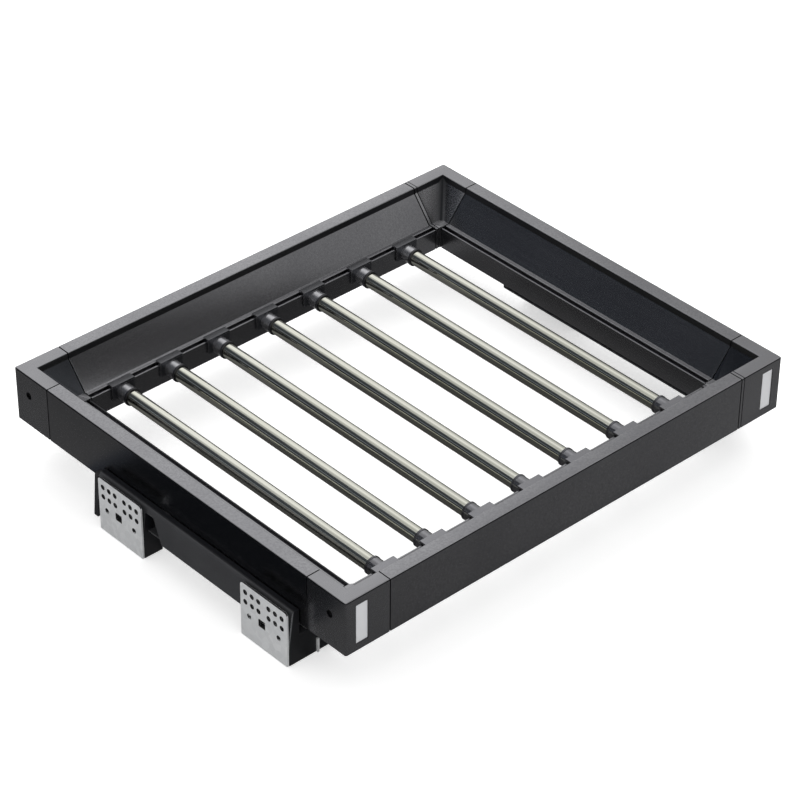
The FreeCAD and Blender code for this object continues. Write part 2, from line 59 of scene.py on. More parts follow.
# %% Set the camera
camera_place = (-1.54481, -1.68393, 1.69656)
camera_turn = (0.94762, -0.00647, -0.73801)
camera_data = bpy.data.cameras.new("camera")
camera_data.lens = 137.13
camera_data.sensor_width = 36.0
camera_data.clip_end = 50.0
camera = bpy.data.objects.new("camera", camera_data)
camera.location = camera_place
camera.rotation_euler = camera_turn
bpy.context.scene.collection.objects.link(camera)
bpy.context.scene.camera = camera
print("lens:", camera_data.lens, "mm, distance:", round(camera.location.length, 3), "m")

# %% [markdown]
# ## Materials
# Each finish is built from nodes, so it needs no picture. The helpers below start a material, add
# a noise that is stretched along a direction, and turn a noise into a small change of colour,
# roughness or height. Object coordinates keep every pattern still on its piece.

# %% Helpers for node materials
noise_low, noise_high = 0.3, 0.7
wear_radius = 0.4 * MM
flat_share, worn_share = 0.97, 0.80


def start_material(name):
    """A material with its own shader; returns the material, its nodes' adder, linker and shader."""
    material = bpy.data.materials.new(name)
    material.use_nodes = True
    tree = material.node_tree
    return material, tree.nodes.new, tree.links.new, tree.nodes["Principled BSDF"]


def stretched_noise(add, link, scales, detail=2.0):
    """Noise on Object coordinates, with its own scale along each axis."""
    place = add("ShaderNodeTexCoord")
    mapping = add("ShaderNodeMapping")
    mapping.inputs["Scale"].default_value = scales
    noise = add("ShaderNodeTexNoise")
    noise.inputs["Scale"].default_value = 1.0
    noise.inputs["Detail"].default_value = detail
    link(place.outputs["Object"], mapping.inputs["Vector"])
    link(mapping.outputs["Vector"], noise.inputs["Vector"])
    return noise


def even_noise(add, link, scale, detail=2.0):
    """The same noise with one scale for all axes."""
    return stretched_noise(add, link, (scale, scale, scale), detail)


def ramp(add, link, source, low, high, low_value, high_value):
    """Maps part of a value's span to a span of other values."""
    node = add("ShaderNodeMapRange")
    node.inputs["From Min"].default_value = low
    node.inputs["From Max"].default_value = high
    node.inputs["To Min"].default_value = low_value
    node.inputs["To Max"].default_value = high_value
    link(source, node.inputs["Value"])
    return node.outputs["Result"]


def vary(add, link, noise, low_value=0.0, high_value=1.0):
    """Spreads the middle of a noise's span, where most of it lies, over a span of values."""
    return ramp(add, link, noise.outputs["Fac"], noise_low, noise_high, low_value, high_value)


def blend_colours(add, link, factor, first, second):
    """Mixes two colours by a factor; either colour may be another node's output."""
    node = add("ShaderNodeMix")
    node.data_type = "RGBA"
    link(factor, node.inputs["Factor"])
    for socket, colour in ((node.inputs[6], first), (node.inputs[7], second)):
        if isinstance(colour, tuple):
            socket.default_value = (*colour, 1.0)
        else:
            link(colour, socket)
    return node.outputs[2]


def two_tone(add, link, noise, dark, light):
    """A colour that drifts between two tones with a noise."""
    return blend_colours(add, link, vary(add, link, noise), dark, light)


def wear_edges(add, link, colour, edge_colour, radius=wear_radius):
    """Blends a lighter colour in at sharp edges, where the rounded normal leans from the real one."""
    rounded = add("ShaderNodeBevel")
    rounded.samples = 4
    rounded.inputs["Radius"].default_value = radius
    real = add("ShaderNodeNewGeometry")
    dot = add("ShaderNodeVectorMath")
    dot.operation = "DOT_PRODUCT"
    link(rounded.outputs["Normal"], dot.inputs[0])
    link(real.outputs["Normal"], dot.inputs[1])
    edge = ramp(add, link, dot.outputs["Value"], flat_share, worn_share, 0.0, 1.0)
    return blend_colours(add, link, edge, colour, edge_colour)


def bump(add, link, shader, noise, strength, distance):
    """Lets a noise raise the surface; the distance is the height in metres at full strength."""
    node = add("ShaderNodeBump")
    node.inputs["Strength"].default_value = strength
    node.inputs["Distance"].default_value = distance
    link(noise.outputs["Fac"], node.inputs["Height"])
    link(node.outputs["Normal"], shader.inputs["Normal"])


def paint(names, material):
    """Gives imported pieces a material."""
    for name in names:
        piece = nodes[name]
        piece.data.materials.clear()
        piece.data.materials.append(material)
    print(material.name, "on", len(names), "pieces")

# %% [markdown]
# ## Anodised rails
# The rails are extruded aluminium, etched, anodised and dyed dark grey. The die leaves fine lines
# along the length, the etch makes them satin, and the thin film wears lighter on the edges. A
# metallic shader with a grey base gives the soft sheen, and noise that is stretched along the rail
# gives the lines. Rails along X and rails along Y need their own direction.

# %% Anodised aluminium
rail_grey = (0.262, 0.262, 0.275)
rail_grey_light = (0.300, 0.300, 0.312)
rail_grey_dark = (0.190, 0.190, 0.202)
rail_grey_worn = (0.42, 0.42, 0.43)


def anodised(name, scales):
    """Satin dyed metal: lines along the rail, cloudy tone, etched pits and lighter edges."""
    material, add, link, shader = start_material(name)
    lines = stretched_noise(add, link, scales)
    colour = two_tone(add, link, even_noise(add, link, 14.0), rail_grey, rail_grey_light)
    etch = even_noise(add, link, 520.0, 3.0)
    pits = ramp(add, link, etch.outputs["Fac"], 0.36, 0.70, 0.0, 0.55)
    colour = blend_colours(add, link, pits, colour, rail_grey_dark)
    link(wear_edges(add, link, colour, rail_grey_worn), shader.inputs["Base Color"])
    rough = ramp(add, link, lines.outputs["Fac"], 0.25, 0.75, 0.21, 0.27)
    link(rough, shader.inputs["Roughness"])
    shader.inputs["Metallic"].default_value = 1.0
    bump(add, link, shader, lines, 0.03, 0.02 * MM)
    return material


rail_along_x = anodised("anodised_rail_across", (9.0, 1400.0, 1400.0))
rail_along_y = anodised("anodised_rail_along", (1400.0, 9.0, 1400.0))
paint(["front_rail", "rear_rail"], rail_along_x)
paint(["left_rail", "right_rail"], rail_along_y)

# %% [markdown]
# ## Moulded corners
# The corners are moulded in a metal-filled plastic that is matched to the rails in grey and gloss.
# They have the fine even grain of a spark-eroded mould and no lines, so an even noise gives the
# grain, and a very small height keeps it as calm as the rails. The two screw covers are moulded as
# well, in a pale plain plastic.

# %% Corner and cover plastic
corner_grain = 1800.0
corner_grain_height = 0.007 * MM
moulded_strength = 0.035


def moulded(name, dark, light, roughness, metallic=0.0, grain=corner_grain, height=0.03 * MM):
    """Moulded plastic: cloudy tone, fine grain and lighter edges."""
    material, add, link, shader = start_material(name)
    grain_noise = even_noise(add, link, grain)
    colour = two_tone(add, link, even_noise(add, link, 22.0, 3.0), dark, light)
    worn = tuple(min(1.0, value * 1.5) for value in light)
    link(wear_edges(add, link, colour, worn), shader.inputs["Base Color"])
    rough = vary(add, link, grain_noise, roughness - 0.02, roughness + 0.03)
    link(rough, shader.inputs["Roughness"])
    shader.inputs["Metallic"].default_value = metallic
    bump(add, link, shader, grain_noise, moulded_strength, height)
    return material


def fine_moulded(name, dark, light, roughness, metallic):
    """The corners' finer and calmer grain."""
    return moulded(name, dark, light, roughness, metallic, corner_grain, corner_grain_height)


corner_names = ["front_left_corner", "front_right_corner", "rear_left_corner", "rear_right_corner"]
corner_plastic = fine_moulded("corner_plastic", (0.250, 0.250, 0.262), (0.280, 0.280, 0.292), 0.24, 0.97)
cover_plastic = moulded("cover_plastic", (0.74, 0.75, 0.77), (0.80, 0.81, 0.83), 0.42)
paint(corner_names, corner_plastic)
paint(["left_screw_cover", "right_screw_cover"], cover_plastic)

# %% [markdown]
# ## Polished bars
# The bars are thin steel tubes, polished and plated with a warm tint. Polishing along the tube
# leaves hair lines that only show as a slight spread of the reflection, so the noise that drives
# the roughness is very fine round the tube and long along it.

# %% Bar metal
bar_metal, add, link, shader = start_material("bar_metal")
hairs = stretched_noise(add, link, (2600.0, 12.0, 2600.0))
warm = stretched_noise(add, link, (30.0, 6.0, 30.0))
link(two_tone(add, link, warm, (0.63, 0.63, 0.55), (0.67, 0.67, 0.60)), shader.inputs["Base Color"])
link(vary(add, link, hairs, 0.07, 0.13), shader.inputs["Roughness"])
shader.inputs["Metallic"].default_value = 1.0
bump(add, link, shader, hairs, 0.05, 0.01 * MM)
bar_names = [f"bar_{number}" for number in range(1, 8)]
paint(bar_names, bar_metal)

# %% [markdown]
# ## Clips, caps and cages
# The clips are glossy moulded plastic that is as dark as the frame. The caps are black, the cages
# grey, the rollers off-white and the bumpers matt rubber. All of them are moulded, so one recipe
# serves with its own colour, gloss and grain.

# %% Plastics
clip_grain = 900.0
clip_grain_height = 0.02 * MM


def clip_moulded(name, dark, light, roughness, metallic):
    """The clips' glossy plastic, with a wide and shallow grain."""
    return moulded(name, dark, light, roughness, metallic, clip_grain, clip_grain_height)


clip_plastic = clip_moulded("clip_plastic", (0.235, 0.235, 0.250), (0.262, 0.262, 0.275), 0.20, 0.9)
cap_plastic = moulded("cap_plastic", (0.026, 0.026, 0.028), (0.034, 0.034, 0.037), 0.42)
cage_plastic = moulded("cage_plastic", (0.46, 0.46, 0.44), (0.52, 0.52, 0.50), 0.45)
roller_plastic = moulded("roller_plastic", (0.72, 0.71, 0.67), (0.78, 0.77, 0.73), 0.28)
bumper_rubber = moulded("bumper_rubber", (0.022, 0.022, 0.022), (0.030, 0.030, 0.030), 0.78)
sides = ("left", "right")
ends = ("front", "rear")
slide_levels = [f"{side}_{level}" for side in sides for level in ("lower", "upper")]
paint([f"{bar}_{end}_clip" for bar in bar_names for end in ends], clip_plastic)
paint([side + "_rear_cap" for side in sides], cap_plastic)
paint([level + "_cage" for level in slide_levels], cage_plastic)
paint([level + "_rollers" for level in slide_levels], roller_plastic)
paint(["closing_bumpers"], bumper_rubber)

# %% [markdown]
# ## Black slide housings
# The folded housings are powder coated. The powder melts into a skin with a fine orange peel, and
# it is a little thinner and greyer on the folds. The aprons at the front and the top of the wall lie
# in the rail's shadow, so they get a near-black painted shade of their own, which is put on their
# faces further below.

# %% Powder coat
black_steel, add, link, shader = start_material("black_steel")
peel = even_noise(add, link, 650.0)
clouds = even_noise(add, link, 18.0, 3.0)
coat = two_tone(add, link, clouds, (0.046, 0.047, 0.051), (0.060, 0.061, 0.065))
link(wear_edges(add, link, coat, (0.16, 0.16, 0.165), 0.5 * MM), shader.inputs["Base Color"])
link(vary(add, link, peel, 0.34, 0.46), shader.inputs["Roughness"])
bump(add, link, shader, peel, 0.25, 0.06 * MM)
paint([side + "_housing" for side in sides], black_steel)
# Painted shade for the aprons and for the wall's top under the rail.
apron_painted_shade = moulded("apron_painted_shade", (0.0075, 0.008, 0.010), (0.011, 0.0115, 0.014), 0.34, grain=650.0)

# %% [markdown]
# ## Galvanised plates and slide members
# Hot zinc freezes in patches, called spangle, that are a few millimetres wide and differ a little
# in grey. A Voronoi texture gives each patch its own tone and gloss. The slide members are rolled
# from finer zinc-coated strip, so their pattern is smaller and stretched along the run. Where a
# sheet is cut, the bare steel is darker and its pattern is too fine to see. A near-black version of
# it is painted shade, for faces that lie in shadow.

# %% Zinc
fine_cells = (900.0, 900.0, 900.0)
member_cells = (700.0, 60.0, 700.0)
plate_cells = (170.0, 170.0, 170.0)
zinc_worn = (0.80, 0.81, 0.82)


def galvanised(name, dark, light, roughness, metallic, scales=fine_cells):
    """Zinc with patches that differ in tone and gloss, and lighter edges."""
    material, add, link, shader = start_material(name)
    place = add("ShaderNodeTexCoord")
    mapping = add("ShaderNodeMapping")
    mapping.inputs["Scale"].default_value = scales
    link(place.outputs["Object"], mapping.inputs["Vector"])
    cells = add("ShaderNodeTexVoronoi")
    cells.inputs["Scale"].default_value = 1.0
    link(mapping.outputs["Vector"], cells.inputs["Vector"])
    split = add("ShaderNodeSeparateColor")
    link(cells.outputs["Color"], split.inputs["Color"])
    colour = blend_colours(add, link, split.outputs["Red"], dark, light)
    link(wear_edges(add, link, colour, zinc_worn), shader.inputs["Base Color"])
    rough = ramp(add, link, split.outputs["Green"], 0.0, 1.0, roughness - 0.06, roughness + 0.08)
    link(rough, shader.inputs["Roughness"])
    shader.inputs["Metallic"].default_value = metallic
    bump(add, link, shader, even_noise(add, link, 900.0), 0.10, 0.03 * MM)
    return material


# Painted shade: near-black, for holes, inner sides and screws that lie in shadow.
painted_shade_steel = galvanised("painted_shade_steel", (0.020, 0.020, 0.022), (0.030, 0.030, 0.032), 0.55, 0.2)
cut_edge_steel = galvanised("cut_edge_steel", (0.13, 0.135, 0.145), (0.17, 0.175, 0.185), 0.45, 0.2)
plate_zinc = galvanised("zinc_plate", (0.68, 0.69, 0.70), (0.77, 0.78, 0.79), 0.46, 0.12, plate_cells)
member_zinc = galvanised("zinc_member", (0.42, 0.43, 0.45), (0.50, 0.51, 0.53), 0.36, 0.8, member_cells)
screw_zinc = galvanised("screw_zinc", (0.46, 0.47, 0.49), (0.58, 0.59, 0.61), 0.30, 0.9)
members = ("fixed", "middle", "drawer")
paint([f"{side}_{end}_bracket" for side in sides for end in ends], plate_zinc)
paint([f"{side}_{member}_member" for side in sides for member in members], member_zinc)
paint(["seat_screws", "bracket_rivets"], screw_zinc)
# The screws deep in the corners' access holes get the painted shade, so that the holes read dark.
paint(["corner_screws"], painted_shade_steel)
paint([side + "_apron_clip" for side in sides], plate_zinc)

# %% [markdown]
# ## Shaping tools
# The same few steps make every small piece: a primitive at its size and place, faces or edges
# chosen by where they are, then extrude, inset or bevel. These helpers keep each step short. A
# finished piece keeps its place in its mesh, and a copy gets a mesh of its own.

# %% Helpers that select
facing = 0.9
leaning = 0.3


def clear_selection():
    """Leaves edit mode and deselects everything, as operators act on all that is selected."""
    if bpy.context.object and bpy.context.object.mode != "OBJECT":
        bpy.ops.object.mode_set(mode="OBJECT")
    bpy.ops.object.select_all(action="DESELECT")


def make_active(piece):
    """Makes one piece the only one that the next operator acts on."""
    clear_selection()
    piece.select_set(True)
    bpy.context.view_layer.objects.active = piece


def edit_all(piece):
    """Opens a piece in edit mode with all of it selected."""
    make_active(piece)
    bpy.ops.object.mode_set(mode="EDIT")
    bpy.ops.mesh.select_all(action="SELECT")


def leave_edit():
    """Back to object mode."""
    bpy.ops.object.mode_set(mode="OBJECT")


def select(piece, kind, test):
    """In edit mode, selects the faces or edges whose middle and direction pass a test."""
    make_active(piece)
    bpy.ops.object.mode_set(mode="EDIT")
    bpy.ops.mesh.select_mode(type=kind)
    bpy.ops.mesh.select_all(action="DESELECT")
    mesh = bmesh.from_edit_mesh(piece.data)
    if kind == "FACE":
        for face in mesh.faces:
            face.select_set(test(face.calc_center_median(), face.normal))
    else:
        for edge in mesh.edges:
            start, end = (vertex.co for vertex in edge.verts)
            edge.select_set(test((start + end) / 2, (end - start).normalized()))
    mesh.select_flush_mode()
    bmesh.update_edit_mesh(piece.data)


# %% Helpers that make and join
def settle(name):
    """Names the new primitive and moves its place into its mesh."""
    piece = bpy.context.object
    piece.name = name
    piece.data.name = name
    bpy.ops.object.transform_apply(location=True, rotation=True, scale=True)
    return piece


def start_box(name, low, high):
    """A block between two opposite corners."""
    clear_selection()
    middle = [(first + last) / 2 for first, last in zip(low, high)]
    size = [last - first for first, last in zip(low, high)]
    bpy.ops.mesh.primitive_cube_add(size=1.0, location=middle)
    bpy.context.object.scale = size
    return settle(name)


def start_rod(name, first, last, radius, sides=64):
    """A round rod between two points."""
    clear_selection()
    run = Vector(last) - Vector(first)
    middle = (Vector(last) + Vector(first)) / 2
    turn = run.to_track_quat("Z", "Y").to_euler()
    bpy.ops.mesh.primitive_cylinder_add(vertices=sides, radius=radius, depth=run.length,
                                        location=middle, rotation=turn)
    return settle(name)


def unite(piece, others):
    """Joins solids into one closed skin."""
    for other in others:
        make_active(piece)
        union = piece.modifiers.new("union", "BOOLEAN")
        union.operation = "UNION"
        union.solver = "EXACT"
        union.object = other
        bpy.ops.object.modifier_apply(modifier="union")
        bpy.data.objects.remove(other, do_unlink=True)
    return piece


def copy_of(piece, name, matrix=Matrix.Identity(4)):
    """A copy with its own mesh, moved or mirrored in the mesh."""
    mesh = piece.data.copy()
    mesh.transform(matrix)
    if matrix.determinant() < 0:
        mesh.flip_normals()
    mesh.name = name
    copy = bpy.data.objects.new(name, mesh)
    bpy.context.scene.collection.objects.link(copy)
    return copy


# %% Helpers that round and finish
round_angle = 26.0
calm_angle = 32.0
merge_distance = 0.004 * MM
flat_angle = 0.6


def round_edges(piece, width, segments=2, angle=round_angle):
    """Rounds every edge that is sharper than an angle, and smooths the shading."""
    make_active(piece)
    edge_round = piece.modifiers.new("edge_round", "BEVEL")
    edge_round.width = width
    edge_round.segments = segments
    edge_round.limit_method = "ANGLE"
    edge_round.angle_limit = math.radians(angle)
    edge_round.use_clamp_overlap = True
    edge_round.harden_normals = True
    bpy.ops.object.shade_smooth_by_angle(angle=math.radians(angle))
    bpy.ops.object.modifier_apply(modifier="edge_round")


def calm_normals(piece):
    """Lets the large flat faces decide the shading of their corners."""
    make_active(piece)
    bpy.ops.object.shade_smooth_by_angle(angle=math.radians(calm_angle))
    weighted = piece.modifiers.new("calm", "WEIGHTED_NORMAL")
    weighted.weight = 90
    weighted.keep_sharp = True
    bpy.ops.object.modifier_apply(modifier="calm")


def softened(node, width, shape_first=None):
    """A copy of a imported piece, merged and cleared of needless edges, with rounded edges."""
    source = nodes[node]
    piece = copy_of(source, node + "_finished", source.matrix_world)
    edit_all(piece)
    bpy.ops.mesh.remove_doubles(threshold=merge_distance)
    bpy.ops.mesh.dissolve_limited(angle_limit=math.radians(flat_angle))
    leave_edit()
    if shape_first:
        shape_first(piece)
    round_edges(piece, width)
    return piece


def fit(piece, material, slot, body, *replaced):
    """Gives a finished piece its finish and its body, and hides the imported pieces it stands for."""
    piece.data.materials.clear()
    piece.data.materials.append(material)
    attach(piece, body)
    if replaced:
        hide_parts(*replaced)


def refinish(piece, material, test):
    """Gives the faces that pass a test a finish of their own."""
    piece.data.materials.append(material)
    select(piece, "FACE", test)
    piece.active_material_index = len(piece.data.materials) - 1
    bpy.ops.object.material_slot_assign()
    leave_edit()

# %% [markdown]
# ## Caps and covers with real edges
# An extrusion, a moulding and a folded sheet never have a knife edge: a radius of a few tenths of
# a millimetre catches a thin line of light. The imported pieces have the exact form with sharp
# edges, so each gets a copy whose loose triangles are merged and cleared up, and whose edges are
# rounded by a bevel. The rear caps and the screw covers need nothing more.

# %% Caps and covers
cap_round = 0.8 * MM
cover_round = 0.12 * MM
for side in sides:
    cap = side + "_rear_cap"
    fit(softened(cap, cap_round), cap_plastic, "cap_plastic", "cabinet_side", cap)
    cover = side + "_screw_cover"
    fit(softened(cover, cover_round), cover_plastic, "cover_plastic", "basket", cover)
print("caps and covers:", 2 * len(sides))

# %% [markdown]
# ## Rails with a dark band
# Below the rim the rail's inner side stands upright and is a dark band, because no light reaches it.
# The cut ends in the seams lie in shade too, while the rounded outer edge of the rim and the top of
# the left rail's lip look dark because they mirror dark surfaces. Darker lamps would dim the bright
# rims as well, so these faces get a near-black painted shade and painted reflection of their own,
# chosen by which way they face and how high they lie.

# %% Rails
rim_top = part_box("front_rail")[1][2]
fascia_height = 6.3 * MM
rim_round = 1.4 * MM
rail_round = 0.25 * MM
lip_width = 2.3 * MM
# Painted shade and painted dark reflection for the faces chosen below.
frame_shade = fine_moulded("frame_shade", (0.010, 0.0105, 0.0125), (0.014, 0.0145, 0.0175), 0.32, 0.5)
rails = (("front_rail", rail_along_x, Vector((0, 1, 0))), ("rear_rail", rail_along_x, Vector((0, -1, 0))),
         ("left_rail", rail_along_y, Vector((1, 0, 0))), ("right_rail", rail_along_y, Vector((-1, 0, 0))))
for name, material, inward in rails:
    piece = softened(name, rail_round)
    fit(piece, material, "rail_aluminium", "basket", name)
    run = inward.cross(Vector((0, 0, 1)))
    lip_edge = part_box("left_rail")[1][0] - lip_width if name == "left_rail" else math.inf

    def in_the_shade(middle, normal):
        turned_in = normal.dot(inward)
        at_end = abs(normal.dot(run)) > facing
        on_fascia = turned_in > facing and middle.z > rim_top - fascia_height
        on_lip = normal.z > leaning and middle.x > lip_edge
        under_rim = -0.98 < turned_in < -0.55 and middle.z > rim_top - rim_round
        return at_end or on_fascia or on_lip or under_rim

    refinish(piece, frame_shade, in_the_shade)
print("rails:", len(rails), "rim top:", round(rim_top / MM, 1), "mm")

# %% [markdown]
# ## The form of the corners
# Each corner carries the rails' sloping inner walls round the bend, where they meet in a valley
# with a wide soft radius, so the valley is bevelled before the small edges are rounded. The right
# pair also has a second fine line beside its seam. Two bisect planes mark a narrow strip right
# round the corner, and a shrink pushes that strip in, which keeps the moulding closed.

# %% Round the valley and cut the second line
arm_along = 48.4 * MM
arm_across = {"left": 49.2 * MM, "right": 53.4 * MM}
port_place = 20.2 * MM
port_height = 75.2 * MM
port_margin = 5.0 * MM
groove_start = 2.6 * MM
groove_width = 1.0 * MM
groove_depth = 0.7 * MM
valley_radius = 4.5 * MM
valley_low, valley_high = 75.0 * MM, 85.0 * MM


def in_the_valley(middle, run):
    """Edges that run down the diagonal between the two slopes."""
    diagonal = abs(abs(run.x) - abs(run.y)) < 0.02
    return diagonal and 0.2 < abs(run.z) < 0.97 and valley_low < middle.z < valley_high


def shape_corner(piece):
    """Rounds the valley where the two slopes meet, and cuts the second line of a right corner."""
    select(piece, "EDGE", in_the_valley)
    bpy.ops.mesh.bevel(offset=valley_radius, segments=6, affect="EDGES")
    leave_edit()
    if "right" not in piece.name:
        return
    outer_x = max(vertex.co.x for vertex in piece.data.vertices)
    outer_y = max((vertex.co.y for vertex in piece.data.vertices), key=abs)
    near_side = outer_x - arm_across["right"] + groove_start
    for cut in (near_side, near_side + groove_width):
        edit_all(piece)
        bpy.ops.mesh.bisect(plane_co=(cut, 0, 0), plane_no=(1, 0, 0))
        leave_edit()

    def on_line(middle, normal):
        reach = math.hypot(abs(middle.y - outer_y) - port_place, middle.z - port_height)
        return near_side < middle.x < near_side + groove_width and reach > port_margin

    select(piece, "FACE", on_line)
    bpy.ops.mesh.extrude_region_shrink_fatten(TRANSFORM_OT_shrink_fatten={"value": -groove_depth})
    leave_edit()
    print(piece.name, "has its second line at", round(near_side / MM, 1), "mm")

# %% [markdown]
# ## Painted reflection in the valleys
# A glossy slope beside another slope mirrors it, so it looks darker towards the line where the two
# meet, and that reflection is painted into the colour. Three corners do that within a few
# millimetres, and a dark painted strip on the rounding is enough. On the rear right corner the
# change is wide and soft, so its painted colour follows the distance to the line, and one of its
# slopes is painted lighter, as it mirrors brighter surroundings. ABSOLUTE folds the four quarters
# onto one, the dot product with (1, -1, 0) measures across the diagonal, and a ramp turns that
# distance into a tone.

# %% Slope and valley finishes
half_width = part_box("front_right_corner")[1][0]
half_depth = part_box("rear_right_corner")[1][1]
valley_core = 0.8 * MM
valley_dark = (0.010, 0.011, 0.013)


def vector_step(add, link, operation, source):
    """A vector operation on another node's output."""
    node = add("ShaderNodeVectorMath")
    node.operation = operation
    link(source, node.inputs[0])
    return node


def number_step(add, link, operation, source):
    """An operation on a number from another node."""
    node = add("ShaderNodeMath")
    node.operation = operation
    link(source, node.inputs[0])
    return node


def shaded_valley(name, light, reach):
    """A corner finish with painted reflection: darker towards the line where the two slopes meet."""
    material, add, link, shader = start_material(name)
    place = add("ShaderNodeTexCoord")
    folded = vector_step(add, link, "ABSOLUTE", place.outputs["Object"])
    across = vector_step(add, link, "DOT_PRODUCT", folded.outputs["Vector"])
    across.inputs[1].default_value = (1.0, -1.0, 0.0)
    off_line = number_step(add, link, "SUBTRACT", across.outputs["Value"])
    off_line.inputs[1].default_value = half_width - half_depth
    distance = number_step(add, link, "ABSOLUTE", off_line.outputs["Value"])
    tone = ramp(add, link, distance.outputs["Value"], valley_core, reach, 0.0, 1.0)
    link(blend_colours(add, link, tone, valley_dark, light), shader.inputs["Base Color"])
    link(ramp(add, link, tone, 0.0, 0.5, 0.0, 0.97), shader.inputs["Metallic"])
    shader.inputs["Specular IOR Level"].default_value = 0.1
    grain_noise = even_noise(add, link, corner_grain)
    link(vary(add, link, grain_noise, 0.24, 0.29), shader.inputs["Roughness"])
    bump(add, link, shader, grain_noise, moulded_strength, corner_grain_height)
    return material


# Painted reflection: slope_shade darkens two slopes that mirror dark surroundings, and valley_shade the
# rounded valleys of three corners.
slope_shade = fine_moulded("slope_shade", (0.095, 0.100, 0.112), (0.108, 0.114, 0.128), 0.24, 0.97)
valley_shade = fine_moulded("valley_shade", (0.018, 0.019, 0.021), (0.024, 0.025, 0.028), 0.24, 0.97)
painted_bright_valley = shaded_valley("painted_bright_valley", (0.420, 0.420, 0.435), 24.0 * MM)
painted_dull_valley = shaded_valley("painted_dull_valley", (0.250, 0.252, 0.266), 13.0 * MM)
print("valley lines lie", round((half_width - half_depth) / MM, 1), "mm off the diagonal")

# %% [markdown]
# ## The corners
# A corner is dark wherever no light gets in: in its seams and second line, in the bores of the
# access holes and the hollow behind them, round the sunken covers, and under the rim as the rails
# are. Each of these places is a short test on a face's middle and direction, measured from the
# corner's two outer faces, so that one test serves all four corners.

# %% Where light doesn't reach a corner
seam_skin = 0.1 * MM
line_slack = 0.05 * MM
line_foot = 30.0 * MM
bore_reach = 4.2 * MM
wall_reach = 4.0 * MM
hollow_start = 5.0 * MM
foot_height = 1.0 * MM
pocket_skin, pocket_reach, pocket_slack = 0.1 * MM, 2.0 * MM, 0.5 * MM


def corner_shade(name):
    """The test for a corner's dark faces; also gives the directions that point inwards."""
    low, high = (Vector(corner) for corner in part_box(name))
    side = "left" if "left" in name else "right"
    outer_x = low.x if side == "left" else high.x
    outer_y = low.y if "front" in name else high.y
    inward_x = 1 if side == "left" else -1
    inward_y = 1 if "front" in name else -1
    line_end = arm_across[side] - groove_start
    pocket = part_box(side + "_screw_cover") if "front" in name else None

    def in_the_shade(middle, normal):
        reach_x = abs(middle.x - outer_x)
        reach_y = abs(middle.y - outer_y)
        nearest = min(reach_x, reach_y)
        sunk = middle.z - port_height
        faces_out = -normal.x * inward_x - normal.y * inward_y
        faces_in = -faces_out > facing and abs(normal.z) < leaning
        at_seam = reach_x > arm_across[side] - seam_skin or reach_y > arm_along - seam_skin
        beside_line = abs(reach_x - line_end + groove_width / 2)
        on_line = (side == "right" and beside_line < groove_width / 2 + line_slack
                   and (abs(normal.x) > 0.5 or reach_y < line_foot))
        in_pocket = (pocket and pocket_skin < reach_y < pocket_reach and normal.y > -0.5
                     and pocket[0][0] - pocket_slack < middle.x < pocket[1][0] + pocket_slack)
        in_bore = ((abs(normal.x) < 0.5 and math.hypot(reach_y - port_place, sunk) < bore_reach)
                   or (abs(normal.y) < 0.5 and math.hypot(reach_x - port_place, sunk) < bore_reach))
        in_hollow = ((faces_in and nearest < wall_reach)
                     or (normal.z < -leaning and middle.z > low.z + foot_height)
                     or (faces_out > facing and nearest > hollow_start))
        under_rim = 0.5 < faces_out and 0.2 < normal.z < 0.85 and middle.z > rim_top - rim_round
        on_fascia = faces_in and middle.z > rim_top - fascia_height
        return at_seam or on_line or in_pocket or in_bore or in_hollow or under_rim or on_fascia

    return in_the_shade, inward_x, inward_y


# %% Corners
corner_round = 0.35 * MM
slope_foot = 60.0 * MM
slope_z = 0.635
# The two slopes that get the painted dark reflection.
dim_slopes = {"rear_left_corner": Vector((0, -0.772, slope_z)),
              "front_right_corner": Vector((-0.772, 0, slope_z))}


def on_slope(middle, normal):
    """The sloping inner walls, above the ledge."""
    return leaning < normal.z < 0.8 and middle.z > slope_foot


for name in corner_names:
    piece = softened(name, corner_round, shape_corner)
    fit(piece, corner_plastic, "corner_plastic", "basket", name)
    in_the_shade, inward_x, inward_y = corner_shade(name)
    # Painted reflection in the valleys and on the dim slopes, painted shade where no light gets in.
    if name == "rear_right_corner":
        refinish(piece, painted_bright_valley, lambda middle, normal: on_slope(middle, normal)
                 and normal.y * inward_y > abs(normal.x) - 0.05)
        refinish(piece, painted_dull_valley, lambda middle, normal: on_slope(middle, normal)
                 and normal.x * inward_x > abs(normal.y))
    else:
        refinish(piece, valley_shade, lambda middle, normal: min(abs(normal.x), abs(normal.y)) > 0.05
                 and normal.x * inward_x > 0 and normal.z > leaning and middle.z > slope_foot)
    refinish(piece, frame_shade, in_the_shade)
    if name in dim_slopes:
        refinish(piece, slope_shade, lambda middle, normal: normal.dot(dim_slopes[name]) > 0.97)
print("corners:", len(corner_names))

# %% [markdown]
# ## Housings
# A housing's folded wall leans out beside the frame, and its aprons stand at the front. The wall's
# cut edge shows the bare sheet as a thin light line down the front, beside the apron, which is
# painted near-black as shade. The front face is one face in the imported piece, so a bisect plane
# along the wall's inner side divides it first, and then each part gets its own finish.

